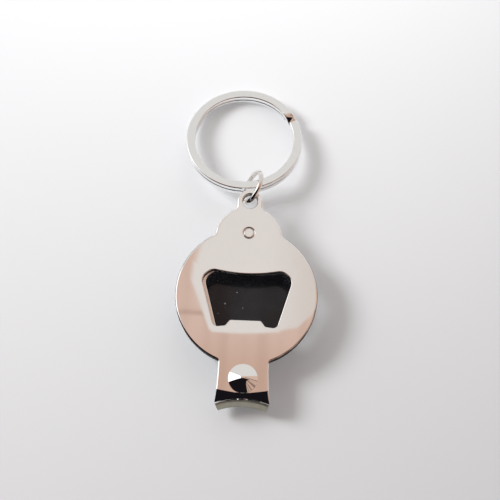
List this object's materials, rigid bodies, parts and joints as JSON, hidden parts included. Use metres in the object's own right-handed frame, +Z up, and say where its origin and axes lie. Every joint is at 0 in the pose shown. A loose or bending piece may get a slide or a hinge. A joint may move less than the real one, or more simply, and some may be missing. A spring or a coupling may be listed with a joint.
{
  "type": "keychain bottle opener",
  "caption": "Round pocket bottle opener of two riveted steel plates, with nail clipper jaws, a folding lever and a key ring.",
  "frame": {"origin": "middle of the footprint, on the plane that the lever's rim rests on", "axes": "+Z up out of the opener's upper face, +Y from the jaws towards the key ring, +X to the right"},
  "size_m": [0.036, 0.087, 0.0128],
  "materials": {
    "upper_plate": "mirror polished nickel plate",
    "lower_plate": "polished nickel plate",
    "rivet_steel": "polished, peened flush",
    "post_steel": "mirror polished",
    "lever_steel": "plain pressed steel",
    "lever_plastic": "black gloss moulding",
    "badge_print": "printed card",
    "badge_clear": "clear poured resin",
    "jump_wire": "nickel plated wire",
    "ring_wire": "nickel plated flat wire"
  },
  "bodies": {
    "lever": {"lever_arm": "lever_steel", "lever_disc": "lever_plastic", "badge_insert": "badge_print", "badge_dome": "badge_clear"},
    "post": {"pivot_post": "post_steel"},
    "upper_jaw": {"upper_jaw": "upper_plate", "tail_rivet": "rivet_steel"},
    "lower_jaw": {"lower_jaw": "lower_plate"},
    "jump_ring": {"jump_ring": "jump_wire"},
    "key_ring": {"key_ring": "ring_wire"}
  },
  "joints": [
    {"name": "lever_tilt", "type": "hinge", "parent": "lever", "child": "post", "pos_m": [0, -0.03686, 0.00179], "axis": [1, 0, 0], "range_deg": [0, 150]},
    {"name": "lever_swivel", "type": "hinge", "parent": "post", "child": "upper_jaw", "pos_m": [0, -0.03625, 0.00822], "axis": [0, -0.0454, 0.999], "continuous": true},
    {"name": "jaw_squeeze", "type": "hinge", "parent": "upper_jaw", "child": "lower_jaw", "pos_m": [0, 0.00165, 0.0089], "axis": [-1, 0, 0], "range_deg": [0, 1.1], "stiffness_Nm_per_rad": 0.5},
    {"name": "link_swing", "type": "hinge", "parent": "upper_jaw", "child": "jump_ring", "pos_m": [0, 0.01202, 0.0096], "axis": [1, 0, 0], "range_deg": [-20, 40]},
    {"name": "ring_swing", "type": "hinge", "parent": "jump_ring", "child": "key_ring", "pos_m": [0.0004, 0.01552, 0.0071], "axis": [1, 0, 0], "range_deg": [-80, 10]}
  ]
}
